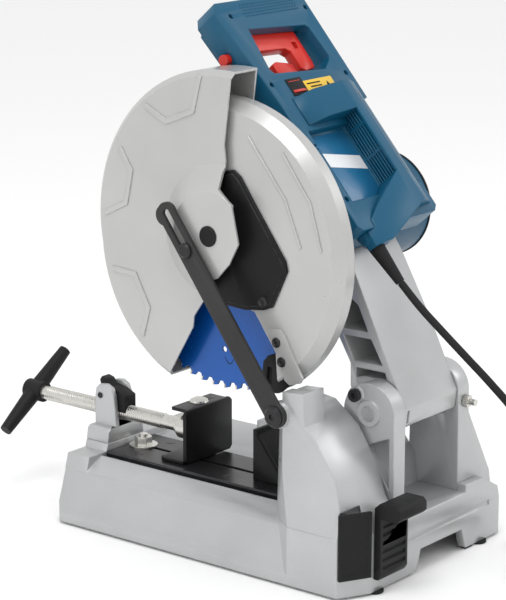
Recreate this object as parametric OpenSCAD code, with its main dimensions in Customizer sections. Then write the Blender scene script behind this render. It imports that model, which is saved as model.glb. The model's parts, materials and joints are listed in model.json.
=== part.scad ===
// Metal-cutting chop saw with a 305 mm toothed blade, a swinging guard,
// a quick-release vise and a pivoting motor head.
// X points to the operator's right, Y to the rear, Z up.
// The origin is on the floor at the middle of the base.

/* [Base] */
// Bolt hole spacing across the base
bolt_x = 236; // [228:2:240]
// Bolt hole spacing along the base
bolt_y = 364; // [356:2:368]
// Radius of the bench bolt holes
bolt_r = 4.5; // [3:0.5:5]
// Thickness of the two vise rails
rail_t = 10; // [8:1:10]

/* [Blade] */
// Blade radius over the tooth tips
blade_r = 152.5; // [148:0.5:152.5]
// Blade body thickness
blade_t = 2.2; // [1.8:0.1:2.4]
// Number of teeth
teeth = 60; // [40:4:80]
// Depth of a gullet
gullet = 7; // [5:0.5:8]

/* [Head] */
// Slope of the motor housing below the horizontal, in degrees
slope = 49; // [49]
// Wall of the sheet metal guards
guard_wall = 2.5; // [1.5:0.5:2.5]
// Thickness of the guard's link bar
link_t = 5; // [3:0.5:5]

/* [Vise] */
// Height of the top edge of the jaw
jaw_top = 138; // [124:2:138]
// Length of the T handle
tee_len = 126; // [100:2:130]

/* [Cord] */
// Diameter of the mains lead
cord_d = 8; // [7:0.5:8]

/* [Hidden] */
$fn = 72;
fine = 144;

// main places in the Y-Z plane
pivot = [165, 174.7];
arbor = [5, 335];
guard_c = [14.5, 355];
link_c = [107.8, 181.2];
link_pin = [-9, 338.3];
motor_c = [63.8, 357.6];

// main places across the machine
blade_x = 95;
deck_z = 66;
rail_top = deck_z + rail_t;
face_x = 109.5;
link_x = 137.5;
spindle_x = 56;
spindle_z = 113.5;

// radii shared by parts that fit together
shaft_r = 8;
bore_r = 8.05;
arbor_r = 12.7;
drum_r = 57;
motor_shaft_r = 6;
link_turn = 126.6;
latch_c = [214, 92];
nut_pin = [-196, 132];

// gears inside the case
tooth_m = 1.5;
pinion_n = 14;
gear_n = 70;

// housing, in its own sloping frame: s down the slope, n out of the slab
slab_n = 356;
floor_n = 346;

// mains lead
coil_c = [-66, 352.5];
tail_x = -118;
gland = [32, 150.6, 349.6];
gland_turn = -136.6;
cord_pts = [[32, 186.2, 312.3], [32, 210, 291], [32, 236, 271], [32, 267, 248], [32, 298, 225],
            [32, 328, 200], [31, 353, 170], [29, 374, 135], [25, 391, 97], [17, 403, 60],
            [3, 409, 30], [-18, 409, 11], [-42, 406, 5], [-66, 404.5, 4]];
tail_pts = [[-118, 352.5, 20], [-118, 338, 19.2], [-118, 324, 16.2], [-118, 311, 13], [-118, 300, 12]];

// base outlines
base_plan = [[-130, -208], [130, -208], [144, -194], [144, 190], [110, 208], [-130, 208], [-144, 194],
             [-144, -194]];
skirt = [[-144, 3], [144, 3], [144, 13], [138, 17], [126, 58], [99, 73], [99, 66], [5, 66], [5, 74],
         [-97, 74], [-126, 58], [-138, 17], [-144, 13]];
tower_plan = [[60, 96], [122, 96], [144, 126], [144, 190], [110, 208], [60, 208]];

// ---- helpers ------------------------------------------------------------

// a Y-Z outline extruded along X
module plate_x(x0, x1, pts) {
    translate([x0, 0, 0]) rotate([90, 0, 90]) linear_extrude(x1 - x0) polygon(pts);
}

// an X-Z outline extruded along Y
module plate_y(y0, y1, pts) {
    translate([0, y1, 0]) rotate([90, 0, 0]) linear_extrude(y1 - y0) polygon(pts);
}

// a round bar along X through a Y-Z point
module bar_x(x0, x1, c, r) {
    translate([x0, c[0], c[1]]) rotate([0, 90, 0]) cylinder(h = x1 - x0, r = r);
}

// a round bar along Y through an X-Z point
module bar_y(y0, y1, c, r) {
    translate([c[0], y0, c[1]]) rotate([-90, 0, 0]) cylinder(h = y1 - y0, r = r);
}

// a box from its low corner to its high corner
module box(lo, hi) {
    translate(lo) cube(hi - lo);
}

// a profile of [radius, x] points turned about an axis along X
module turned_x(c, pts) {
    translate([0, c[0], c[1]]) rotate([0, 90, 0]) rotate_extrude($fn = fine) polygon(pts);
}

// a profile of [radius, z] points turned about a vertical axis
module turned_z(c, pts) {
    translate([c[0], c[1], 0]) rotate_extrude() polygon(pts);
}

// the housing's sloping frame: Y becomes s, Z becomes n
module sloped() {
    rotate([-slope, 0, 0]) children();
}

// an X-s outline raised from n0 to n1 in the sloping frame
module slab(n0, n1, pts) {
    sloped() translate([0, 0, n0]) linear_extrude(n1 - n0) polygon(pts);
}

// a six-sided outline of the given corner radius
function hex(r) = [for (i = [0 : 5]) [r * cos(60 * i), r * sin(60 * i)]];

// a spur gear outline with straight-sided teeth
function gear_pts(n, m, turn) =
    [for (i = [0 : n - 1]) each [for (p = [[-0.3, -1.25], [-0.2, 0], [-0.1, 0.95], [0.1, 0.95],
                                           [0.2, 0], [0.3, -1.25]])
        let (a = turn + (i + p[0]) * 360 / n, r = m * n / 2 + m * p[1]) [r * cos(a), r * sin(a)]]];

// the blade outline: a hooked tooth and a gullet for each pitch
function blade_pts() =
    [for (i = [0 : teeth - 1]) each [for (p = [[0, 0], [0.38, -1.6], [0.55, -gullet],
                                               [0.85, -gullet], [0.95, -4]])
        let (a = (i + p[0]) * 360 / teeth, r = blade_r + p[1]) [r * cos(a), r * sin(a)]]];

function unit(v) = v / norm(v);

// one ring of a swept tube, square to the path at point i
function tube_ring(p, i, r, sides) =
    let (d = unit(p[min(i + 1, len(p) - 1)] - p[max(i - 1, 0)]),
         u = unit(cross([0.3, 0.8, 0.52], d)), v = cross(d, u))
    [for (k = [0 : sides - 1]) p[i] + r * (cos(360 * k / sides) * u + sin(360 * k / sides) * v)];

// a tube swept along a list of points
module tube(p, r, sides = 10) {
    last = (len(p) - 1) * sides;
    polyhedron(
        points = [for (i = [0 : len(p) - 1]) each tube_ring(p, i, r, sides)],
        faces = concat([[for (k = [0 : sides - 1]) k]],
                       [[for (k = [sides - 1 : -1 : 0]) last + k]],
                       [for (i = [0 : len(p) - 2], k = [0 : sides - 1])
                           [i * sides + k, (i + 1) * sides + k,
                            (i + 1) * sides + (k + 1) % sides, i * sides + (k + 1) % sides]]));
}

// the chip tray's frame: X along the cut corner, Y out of it
module tray_frame() {
    translate([127, 199, 0]) rotate([0, 0, -27.9]) children();
}

// the link's frame: Y from its pivot toward the pin
module link_frame() {
    translate([0, link_c[0], link_c[1]]) rotate([link_turn, 0, 0]) children();
}

// ---- base ---------------------------------------------------------------

module near_cheek() {
    plate_x(36, 56, [[141, deck_z], [133, 174.7], [197, 174.7], [197, deck_z]]);
}

module base_shell() {
    difference() {
        union() {
            intersection() {
                translate([0, 0, -1]) linear_extrude(120) polygon(base_plan);
                plate_y(-209, 209, skirt);
                plate_x(-150, 150, [[-208, 3], [208, 3], [208, 80], [-200, 80], [-202, 17],
                                    [-208, 13]]);
                difference() {
                    box([-150, -210, 0], [150, 210, 90]);
                    box([58, 96, deck_z], [150, 212, 90]);
                    box([-64, 140, deck_z], [60, 212, 90]);
                    box([-130, 132, deck_z], [-64, 197, 90]);
                }
            }
            translate([0, 0, 3]) linear_extrude(deck_z - 3) polygon(tower_plan);
            plate_y(-203, -171, [[-124, 58], [124, 58], [119, 75], [-119, 75]]);
            plate_y(-203, -171, [[-16, 70], [92, 70], [88, 83], [-12, 83]]);
            plate_x(-64, 60, [[108, 60], [108, 112], [118, 117], [128, 115], [140, 100], [146, 60]]);
        }
        for (y = [[-197, -5], [5, 198]])
            difference() {
                plate_y(y[0], y[1], [[-136, 14], [136, 14], [119, 52], [95, 59], [-95, 59], [-119, 52]]);
                translate([0, 0, 10]) linear_extrude(60)
                    polygon([[144, 174], [144, 210], [90, 210], [90, 201]]);
            }
        plate_y(-197, 198, [[-128, -1], [100, -1], [100, 15], [-128, 15]]);
        plate_y(-160, 150, [[99, -1], [136, -1], [136, 15], [99, 15]]);
        plate_y(190, 212, [[-67, -1], [29, -1], [20, 26], [-58, 26]]);
        box([-110, 206.5, 40], [58, 212, 46]);
        box([70, 126, 40], [112, 176, 70]);
        tray_frame() box([-15, -60, 24], [15, 5, 70]);
        plate_x(-60, 36, [[118, 50], [118, 105], [134, 92], [138, 50]]);
        near_cheek();
    }
}

module base_casting() {
    color([0.72, 0.73, 0.74]) difference() {
        union() {
            base_shell();
            for (x = [-bolt_x / 2, bolt_x / 2], y = [-bolt_y / 2, bolt_y / 2]) {
                translate([x, y, 0]) cylinder(h = 14, r = 12);
                box([min(x, sign(x) * 138), y - 6, 3], [max(x, sign(x) * 138), y + 6, 14]);
            }
        }
        for (x = [-bolt_x / 2, bolt_x / 2], y = [-bolt_y / 2, bolt_y / 2])
            translate([x, y, -1]) cylinder(h = 20, r = bolt_r);
    }
}

module spark_tower() {
    color([0.74, 0.75, 0.76]) difference() {
        union() {
            intersection() {
                translate([0, 0, deck_z]) linear_extrude(200) polygon(tower_plan);
                plate_y(90, 212, [[60, deck_z], [144, deck_z], [134, 119], [134, 230], [60, 230]]);
                plate_x(60, 144, [[96, deck_z], [104, 176], [110, 187], [125, 185], [155, 162],
                                  [179, 125], [190, 93], [208, deck_z]]);
            }
            plate_x(100, 134, [[112, 180], [112, 206], [139, 208], [141, 165]]);
            bar_x(128, link_x - 0.3, link_c, 14);
        }
        plate_x(66, 117, [[80, 60], [80, 183], [122, 181], [150, 159], [174, 123], [186, 92], [198, 70],
                          [198, 60]]);
        plate_x(122, 128, [[112, 60], [112, 160], [140, 160], [160, 140], [176, 110], [184, 60]]);
        difference() {
            bar_x(83, 117, pivot, 140);
            bar_x(82, 118, pivot, 57.5);
            box([80, 165, 60], [120, 320, 320]);
            box([80, 20, 20], [120, 320, 150]);
        }
        tray_frame() box([-15, -60, 60], [15, 5, 93]);
        bar_x(120, 140, link_c, 5);
    }
}

module near_bracket() {
    color([0.73, 0.74, 0.75]) difference() {
        union() {
            bar_x(36, 56, pivot, 32);
            near_cheek();
            bar_x(56, 58, pivot, 14);
            bar_x(56, 57.5, [148.8, 192.3], 9);
        }
        bar_x(30, 60, pivot, shaft_r);
        bar_x(30, 60, [148.8, 192.3], 4);
        plate_x(44, 60, [[147, 74], [144, 104], [163, 74]]);
        plate_x(44, 60, [[169, 74], [147, 112], [157, 134], [191, 84], [191, 74]]);
        plate_x(44, 60, [[143, 118], [140, 150], [153, 140]]);
        plate_x(44, 60, [[162, 139], [191, 96], [191, 152], [178, 147]]);
    }
}

module far_bracket() {
    color([0.73, 0.74, 0.75]) difference() {
        intersection() {
            plate_y(100, 200, [[-64, deck_z], [-64, 208], [-84, 208], [-84, 150], [-126, 74], [-129, 58],
                               [-126, 58], [-111.5, deck_z]]);
            union() {
                bar_x(-140, -60, pivot, 31);
                plate_x(-140, -60, [[132, 50], [134, 174.7], [196, 174.7], [197, 50]]);
            }
        }
        bar_x(-92, -60, pivot, shaft_r);
        plate_y(145, 184, [[-70, 60], [-70, 134], [-80, 134], [-108, 84], [-108, 60]]);
        bar_y(180, 200, [-76, 164], 3.5);
    }
}

module rail_near() {
    color([0.2, 0.2, 0.21]) difference() {
        plate_y(-170, 92, [[52, deck_z], [91.5, deck_z], [91.5, rail_top - 1.5], [90, rail_top],
                           [52, rail_top]]);
        box([50, -90, deck_z - 1], [56, -86, rail_top + 1]);
    }
}

module rail_far() {
    color([0.2, 0.2, 0.21]) plate_y(-170, 92, [[8, deck_z], [46, deck_z], [46, rail_top],
                                                [9.5, rail_top], [8, rail_top - 1.5]]);
}

module rail_rivets() {
    color([0.35, 0.35, 0.36])
        for (x = [22, 76], y = [-135, -10, 78])
            turned_z([x, y], [[0, rail_top], [5, rail_top], [4.6, rail_top + 0.2], [2, rail_top + 0.2],
                              [1.5, rail_top + 0.1], [0, rail_top + 0.1]]);
}

module feet() {
    color([0.06, 0.06, 0.06]) {
        box([-81, 200, 0], [-69, 206, 3]);
        for (x = [-96, 96], y = [-200, 203])
            turned_z([x, y], [[0, 0], [9, 0], [10, 1], [10, 3], [0, 3]]);
    }
}

module fence() {
    color([0.1, 0.1, 0.1]) {
        box([-60, 21, rail_top], [68, 26, 133]);
        box([-60, 26, rail_top], [68, 58, rail_top + 4]);
        for (x = [-60, 63])
            plate_x(x, x + 5, [[26, rail_top + 4], [57, rail_top + 4], [57, rail_top + 12], [26, 126]]);
    }
}

module fence_block() {
    color([0.75, 0.76, 0.77]) difference() {
        box([-60, -1, rail_top], [34, 21, 131]);
        plate_x(-56, 30, [[4, 60], [4, 126], [22, 126], [22, 60]]);
    }
}

module fence_bolts() {
    color([0.6, 0.6, 0.62])
        for (x = [-30, 30])
            translate([x, 43, 0]) {
                translate([0, 0, rail_top + 4]) cylinder(h = 1.5, r = 9);
                translate([0, 0, rail_top + 5.5]) linear_extrude(6) polygon(hex(7));
            }
}

module nut_bracket() {
    color([0.74, 0.75, 0.76]) difference() {
        union() {
            plate_y(-204, -172, [[26, 83], [87, 83], [85, 96], [81, 99], [32, 99], [28, 96]]);
            for (x = [40, 66])
                plate_x(x, x + 6, [[-204, 90], [-204, 128], [-202, 140], [-197, 145], [-187, 146],
                                   [-179, 142], [-176, 134], [-173, 104], [-173, 90]]);
        }
        bar_x(38, 74, nut_pin, 3);
    }
}

module bracket_bolt() {
    color([0.78, 0.78, 0.76]) translate([49, -152, 0]) {
        translate([0, 0, rail_top]) cylinder(h = 2, r = 16);
        translate([0, 0, rail_top + 2]) linear_extrude(9) polygon(hex(10));
        translate([0, 0, rail_top + 11]) cylinder(h = 3, r = 5);
    }
}

module half_nut() {
    color([0.08, 0.08, 0.08]) difference() {
        union() {
            plate_x(47, 65, [[-190, 114.5], [-190, 128], [-200, 128], [-200, 138], [-192, 142],
                             [-176, 139], [-165, 134], [-165, 114.5]]);
            plate_x(50, 62, [[-202, 134], [-205, 147], [-202, 151], [-194, 149], [-186, 138]]);
            bar_x(47, 65, nut_pin, 7);
        }
        bar_y(-210, -160, [spindle_x, spindle_z], shaft_r + 0.5);
        bar_x(40, 70, nut_pin, 3.06);
    }
}

module half_nut_pin() {
    color([0.5, 0.5, 0.5]) bar_x(39, 73, nut_pin, 3);
}

module spindle() {
    color([0.75, 0.75, 0.74]) {
        bar_y(-318, -71.5, [spindle_x, spindle_z], shaft_r);
        translate([spindle_x, -92, spindle_z]) rotate([-90, 0, 0]) cylinder(h = 4, r = 11);
    }
}

module t_handle() {
    color([0.07, 0.07, 0.07]) translate([spindle_x, -312, spindle_z]) rotate([0, 36, 0]) {
        difference() {
            union() {
                rotate([0, 90, 0]) cylinder(h = tee_len / 2, r1 = 10, r2 = 7);
                rotate([0, -90, 0]) cylinder(h = tee_len / 2, r1 = 10, r2 = 7);
                translate([0, -10, 0]) rotate([-90, 0, 0]) cylinder(h = 24, r = 12);
            }
            translate([0, -6, 0]) rotate([-90, 0, 0]) cylinder(h = 30, r = shaft_r);
        }
    }
}

module jaw() {
    color([0.09, 0.09, 0.09]) difference() {
        union() {
            plate_y(-70, -65.5, [[-3, 81], [1, 77.2], [73, 77.2], [77, 81], [77, jaw_top - 4],
                                 [73, jaw_top], [1, jaw_top], [-3, jaw_top - 4]]);
            box([4, -91, jaw_top - 4], [71, -69, jaw_top]);
            jaw_foot();
            box([46.6, -98, 68], [51.4, -70, 78]);
            bar_y(-72, -69, [spindle_x, spindle_z], 15);
        }
        bar_y(-73, -69, [spindle_x, spindle_z], bore_r);
        translate([36, -81, jaw_top - 5]) cylinder(h = 6, r = 4);
    }
}

// the sliding foot under the jaw, with clipped corners
module jaw_foot() {
    translate([0, 0, 76.3]) linear_extrude(4)
        polygon([[24, -104], [74, -104], [78, -98], [78, -70], [20, -70], [20, -98]]);
}

module jaw_collar() {
    color([0.6, 0.6, 0.6]) difference() {
        bar_y(-87.5, -72, [spindle_x, spindle_z], 14);
        bar_y(-88, -71, [spindle_x, spindle_z], bore_r);
    }
}

module jaw_bolt() {
    color([0.78, 0.78, 0.76])
        turned_z([36, -81], [[0, jaw_top - 12], [4, jaw_top - 12], [4, jaw_top], [11, jaw_top],
                             [10, jaw_top + 2], [5, jaw_top + 4.5], [0, jaw_top + 5]]);
}

module chip_tray() {
    color([0.05, 0.05, 0.05]) tray_frame() difference() {
        union() {
            box([-18.5, 0.5, 22], [18.5, 4.5, 93]);
            box([-14.5, -56, 26], [14.5, 1, 60]);
        }
        box([-12.5, -54, 28], [12.5, -2, 61]);
        box([-14.5, 3, 27], [14.5, 5, 88]);
    }
}

module tray_latch() {
    color([0.16, 0.16, 0.17]) {
        difference() {
            plate_x(57, 105, [[208.5, 17], [214, 17], [217, 22], [217, 83], [208.5, 83]]);
            for (z = [28 : 9 : 73])
                box([61, 215, z], [101, 218, z + 4]);
        }
        plate_x(57, 105, [[208.5, 83], [236, 83], [240, 87], [240, 96], [236, 100], [215, 100],
                          [208.5, 94]]);
    }
}

module link_screw() {
    color([0.1, 0.1, 0.1]) difference() {
        union() {
            bar_x(126, 143, link_c, 5);
            turned_x(link_c, [[0, 142.8], [11, 142.8], [11, 144.5], [8, 147], [0, 147]]);
        }
        translate([145, link_c[0], link_c[1]]) rotate([0, 90, 0]) linear_extrude(3) polygon(hex(4));
    }
}

module pivot_shaft() {
    color([0.6, 0.6, 0.62]) {
        bar_x(-84, 58.5, pivot, shaft_r);
        turned_x(pivot, [[0, -90], [10, -90], [12, -88], [12, -84], [0, -84]]);
    }
}

module stop_bolt() {
    color([0.1, 0.1, 0.1]) difference() {
        union() {
            bar_x(38, 57.5, [148.8, 192.3], 4);
            bar_x(57.5, 62, [148.8, 192.3], 7);
        }
        translate([59.5, 148.8, 192.3]) rotate([0, 90, 0]) linear_extrude(3) polygon(hex(3.4));
    }
}

module depth_screw() {
    color([0.7, 0.7, 0.7]) {
        bar_y(184, 210, [-76, 164], 3.5);
        translate([-76, 197, 164]) rotate([-90, 0, 0]) linear_extrude(5) polygon(hex(7));
    }
}

// the torsion spring, wound round the pivot shaft
spring_pts = [for (i = [0 : 56]) [-24 + 20 * i / 56, pivot[0] + 13 * cos(i * 360 / 14),
                                  pivot[1] + 13 * sin(i * 360 / 14)]];

module return_spring() {
    color([0.4, 0.4, 0.4]) tube(spring_pts, 1.8, 8);
}

// ---- head ---------------------------------------------------------------

module arm() {
    color([0.73, 0.74, 0.75]) difference() {
        intersection() {
            plate_y(-60, 260, [[-62, 140], [34, 140], [34, 400], [-48, 400], [-62, 250]]);
            union() {
                plate_x(-62, 34, [[52, 302], [108.6, 245], [124.7, 217.3], [125, 192.4], [141, 172],
                                  [192.4, 159.5], [194.7, 179.6], [125, 323.7], [108, 352], [52, 352]]);
                bar_x(-62, 34, pivot, 27);
            }
        }
        bar_x(-70, 40, motor_c, drum_r);
        bar_x(-70, 40, pivot, bore_r);
        bar_x(-28, 0, pivot, 21);
        box([-28, 165, 140], [0, 186, 172]);
        plate_x(-22, 40, [[101, 277], [112, 254], [147, 254], [134, 281], [118, 292], [106, 292]]);
        plate_x(-22, 40, [[115, 247], [129, 221], [166, 221], [151, 247]]);
        plate_x(2, 40, [[132, 214], [132, 203], [142, 206], [172, 206], [169, 214]]);
        plate_x(-70, -34, [[101, 277], [112, 254], [147, 254], [134, 281], [118, 292], [106, 292]]);
        plate_x(-70, -34, [[115, 247], [129, 221], [166, 221], [151, 247]]);
        box([24, 176, 162], [28, 200, 176]);
    }
}

module gear_case() {
    color([0.7, 0.71, 0.72]) difference() {
        union() {
            bar_x(34, 85, arbor, 58);
            bar_x(34, 85, motor_c, 46);
        }
        bar_x(40, 80, arbor, 55.2);
        bar_x(40, 80, motor_c, 16);
        bar_x(37, 90, arbor, arbor_r + 0.06);
        bar_x(30, 83, motor_c, motor_shaft_r + 0.05);
    }
}

module pinion() {
    color([0.5, 0.5, 0.52]) difference() {
        translate([48, motor_c[0], motor_c[1]]) rotate([90, 0, 90])
            linear_extrude(24) polygon(gear_pts(pinion_n, tooth_m, 213.857));
        bar_x(46, 74, motor_c, motor_shaft_r);
    }
}

module bull_gear() {
    color([0.5, 0.5, 0.52]) difference() {
        translate([50, arbor[0], arbor[1]]) rotate([90, 0, 90])
            linear_extrude(20) polygon(gear_pts(gear_n, tooth_m, 21));
        bar_x(48, 72, arbor, arbor_r);
    }
}

module arbor_shaft() {
    color([0.6, 0.6, 0.62]) difference() {
        bar_x(37.5, 100, arbor, arbor_r);
        bar_x(86, 101, arbor, 5);
    }
}

module arbor_flanges() {
    color([0.55, 0.55, 0.57]) difference() {
        union() {
            turned_x(arbor, [[0, 88], [24, 88], [30, 91], [30, blade_x - blade_t / 2],
                             [0, blade_x - blade_t / 2]]);
            turned_x(arbor, [[0, blade_x + blade_t / 2], [30, blade_x + blade_t / 2], [30, 98],
                             [24, 100], [0, 100]]);
        }
        bar_x(80, 101, arbor, arbor_r);
    }
}

module arbor_bolt() {
    color([0.2, 0.2, 0.21]) {
        bar_x(87, 100, arbor, 5);
        bar_x(100, 102, arbor, 14);
        translate([102, arbor[0], arbor[1]]) rotate([90, 0, 90]) linear_extrude(5) polygon(hex(9));
    }
}

module blade() {
    color([0, 0.3, 0.65]) difference() {
        translate([blade_x - blade_t / 2, arbor[0], arbor[1]]) rotate([90, 0, 90])
            linear_extrude(blade_t) polygon(blade_pts());
        bar_x(90, 100, arbor, arbor_r);
        for (a = [30 : 60 : 330])
            bar_x(90, 100, arbor + 110 * [cos(a), sin(a)], 3);
    }
}

module fixed_guard() {
    color([0.76, 0.77, 0.78]) intersection() {
        difference() {
            turned_x(arbor, [[0, 85], [161, 85], [161, 99], [150.5, face_x], [0, face_x]]);
            turned_x(arbor, [[0, 87], [158.5, 87], [158.5, 98], [148.5, 107.5], [0, 107.5]]);
            bar_x(80, 120, arbor, 34);
            for (c = [[87.1, 249.4], [93.8, 229.6], [69.3, 289.7]])
                bar_x(104, 116, c, 2.5);
            laser_block();
        }
        plate_x(80, 120, [[-60, 520], [-60, 392], [-34, 380], [-34, 300], [-10, 283], [45.5, 279],
                          [56.4, 276.4], [84, 238], [88, 185], [110, 180], [190, 180], [190, 520]]);
    }
    color([0.76, 0.77, 0.78]) difference() {
        bar_x(85, 87, arbor, 40);
        bar_x(84, 88, arbor, 32);
    }
}

module arbor_cover() {
    color([0.06, 0.06, 0.06]) difference() {
        union() {
            plate_x(face_x, 112, [[-32, 388], [-14, 412], [7.3, 418.3], [29.9, 423.2], [39.1, 417],
                                  [97.8, 336.2], [100.4, 326.1], [81.1, 285.2], [70, 281],
                                  [45.5, 277.4], [14.7, 279], [-8, 283], [-32, 302]]);
            plate_x(112, 113, [[-28, 386], [-12, 408], [8, 414], [29, 419], [36, 414], [93.5, 335],
                               [96, 326.5], [78, 288.5], [68, 285], [46, 281.4], [15, 283], [-6, 287],
                               [-28, 304]]);
            bar_x(112, 132.5, guard_c, shaft_r);
        }
        bar_x(100, 116, [69.3, 289.7], 2.5);
    }
}

module cover_screw() {
    color([0.15, 0.15, 0.15]) {
        bar_x(104, 113, [69.3, 289.7], 2.5);
        turned_x([69.3, 289.7], [[0, 113], [6, 113], [5.5, 114], [3, 114.6], [2.2, 113.8], [0, 113.8]]);
    }
}

module guard_bracket() {
    color([0.78, 0.79, 0.8]) difference() {
        plate_x(face_x, 112.5, [[74.9, 257], [78, 262], [91.6, 264], [97.8, 258], [120.8, 216.5],
                                [118, 211], [104, 207], [98, 211], [86.5, 239]]);
        for (c = [[87.1, 249.4], [93.8, 229.6]])
            bar_x(104, 115, c, 2.5);
    }
}

module bracket_screws() {
    color([0.12, 0.12, 0.12])
        for (c = [[87.1, 249.4], [93.8, 229.6]]) {
            bar_x(104, 112.5, c, 2.5);
            turned_x(c, [[0, 112.5], [5.5, 112.5], [5, 113.8], [2.6, 114.4], [2, 113.6], [0, 113.6]]);
        }
}

module laser_block() {
    plate_x(99, 107.4, [[62, 190], [66, 225], [72, 232], [84, 236], [100, 214], [97, 203],
                        [86, 193.5]]);
}

module laser_unit() {
    color([0.05, 0.05, 0.06]) difference() {
        laser_block();
        plate_x(104, 109, [[70, 202], [72, 220], [78, 220], [77, 202]]);
    }
}

module moving_guard() {
    color([0.75, 0.76, 0.77]) intersection() {
        plate_x(70, 140, [[32, 530], [22, 448], [24, 433], [22.7, 420], [25.3, 405], [45, 391],
                          [54, 351.6], [42, 329], [26, 311.7], [12.2, 306.4], [-19.4, 261.6],
                          [-20.9, 249.3], [-53.4, 194.2], [-80, 150], [-190, 150], [-190, 530]]);
        union() {
            difference() {
                union() {
                    turned_x(guard_c, [[0, 73.5], [170, 73.5], [170, 111], [164, 117], [0, 117]]);
                    turned_x(arbor, [[0, 73.5], [158, 73.5], [158, 111], [152, 117], [0, 117]]);
                }
                turned_x(guard_c, [[0, 75.5], [170 - guard_wall, 75.5], [170 - guard_wall, 110],
                                   [162.5, 115], [0, 115]]);
                turned_x(arbor, [[0, 75.5], [158 - guard_wall, 75.5], [158 - guard_wall, 110],
                                 [150.5, 115], [0, 115]]);
                bar_x(70, 76, guard_c, 112);
                bar_x(114, 118, guard_c, 69);
            }
            turned_x(guard_c, [[69, 115], [72, 117], [47, 134], [bore_r, 134], [bore_r, 131.5],
                               [45, 131.5]]);
            turned_x(guard_c, [[bore_r, 117], [14, 117], [14, 132], [bore_r, 132]]);
        }
    }
}

module hub_cap() {
    color([0.05, 0.05, 0.05])
        turned_x(guard_c, [[0, 134], [11, 134], [11, 135], [9.5, 136.3], [0, 136.3]]);
}

module guard_pin() {
    color([0.1, 0.1, 0.1]) {
        bar_x(134, 143, link_pin, 4);
        turned_x(link_pin, [[0, 142.8], [8, 142.8], [8, 144.5], [6, 146.5], [0, 146.5]]);
    }
}

module link_bar() {
    color([0.17, 0.17, 0.18]) translate([link_x, 0, 0]) link_frame() difference() {
        union() {
            rotate([0, 90, 0]) cylinder(h = link_t, r = 13);
            translate([0, 240, 0]) rotate([0, 90, 0]) cylinder(h = link_t, r = 12);
            box([0, 0, -11.5], [link_t, 240, 11.5]);
            translate([0, 240, 4]) rotate([0, 90, 0]) cylinder(h = link_t, r = 11);
        }
        translate([-1, 0, 0]) rotate([0, 90, 0]) cylinder(h = link_t + 2, r = 5.05);
        translate([-1, 193, 0]) rotate([0, 90, 0]) cylinder(h = link_t + 2, r = 4.7);
        translate([-1, 240, 0]) rotate([0, 90, 0]) cylinder(h = link_t + 2, r = 4.7);
        box([-1, 193, -4.7], [link_t + 1, 240, 4.7]);
    }
}

// ---- motor and handle ---------------------------------------------------

module shell_block() {
    difference() {
        union() {
            slab(326, slab_n, [[62, -464], [70, -453], [58, -336], [58, -182], [52, -176], [-76, -176],
                               [-83, -182], [-83, -453], [-76, -464]]);
            slab(318, 326, [[54, -456], [62, -448], [52, -334], [52, -300], [-76, -300], [-76, -456]]);
        }
        slab(floor_n, 380, [[42, -298], [-28, -298], [-28, -210], [42, -210]]);
        slab(349, 380, [[-28, -322], [-90, -322], [-90, -211], [-28, -211]]);
    }
}

module handle_shell() {
    color([0.08, 0.38, 0.55]) difference() {
        shell_block();
        slab(300, 380, [[34.5, -427.7], [-58, -422], [-62, -418], [-65, -380], [-61, -375], [-46, -365],
                        [37, -371], [41, -376]]);
        bar_x(-100, 100, motor_c, drum_r);
        for (c = [[48.6, -446], [-77, -443], [-74.7, -356], [52, -358.6], [45, -279], [17, -278.6],
                  [48, -214], [20, -213.4]])
            sloped() translate([c[0], c[1], 340]) cylinder(h = 20, r = 3.2);
        slab(330, 344, [[40, -446], [-60, -446], [-60, -403], [40, -403]]);
        slab(332, 344, [[14.5, -373], [-19.5, -373], [-19.5, -355], [14.5, -355]]);
        slab(343, 360, [[28, -360], [4, -360], [4, -342], [28, -342]]);
        sloped() translate([55, -408, 334]) rotate([0, 90, 0]) cylinder(h = 20, r = 6.4);
    }
}

module housing_duct() {
    color([0.08, 0.38, 0.55]) difference() {
        union() {
            sloped() plate_y(-338, -196, [[-83, 330], [-83, 350], [-62, 366], [-42, 376], [-28, 376],
                                          [-28, 340]]);
            sloped() plate_y(-338, -304, [[-29, 340], [-29, 376], [14, 370], [36, slab_n], [36, 340]]);
            intersection() {
                slab(340, 378, [[-83, -200], [-42, -214], [-28, -224], [18, -196], [42, -178], [42, -158],
                                [22, -157], [-40, -184], [-83, -186]]);
                sloped() plate_y(-230, -150, [[-83, 330], [-83, 350], [-62, 366], [-42, 376], [-26, 376],
                                              [30, 358], [42, 352], [42, 330]]);
            }
            translate(gland) rotate([gland_turn, 0, 0]) translate([0, 0, -14])
                cylinder(h = 14, r1 = 13, r2 = 11);
        }
        for (s = [-320, -286, -252], n = [348.5 : 3.6 : 371])
            sloped() box([-34, s, n], [-27, s + 31, n + 1.9]);
        relief_cone();
        slab(345, 373, [[-35, -322], [-35, -219], [-50, -219], [-50, -322]]);
        bar_x(-100, 100, motor_c, drum_r);
        shell_block();
        slab(300, 349, [[-28, -340], [-28, -176], [-90, -176], [-90, -340]]);
        slab(300, floor_n, [[-28, -340], [44, -340], [44, -176], [-28, -176]]);
    }
}

module motor_housing() {
    color([0.07, 0.35, 0.52]) difference() {
        union() {
            bar_x(-112, 32, motor_c, drum_r);
            bar_x(32, 34, motor_c, 44);
        }
        bar_x(-113, 28, motor_c, 53);
        bar_x(27, 35, motor_c, motor_shaft_r + 0.05);
    }
}

module end_cap() {
    color([0.05, 0.12, 0.18]) difference() {
        turned_x(motor_c, [[0, -124], [44, -124], [54, -120], [58, -114], [58, -112], [0, -112]]);
        bar_x(-118, -110, motor_c, motor_shaft_r + 0.05);
        for (a = [0 : 30 : 330])
            bar_x(-126, -119, motor_c + 32 * [cos(a), sin(a)], 4);
    }
}

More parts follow.
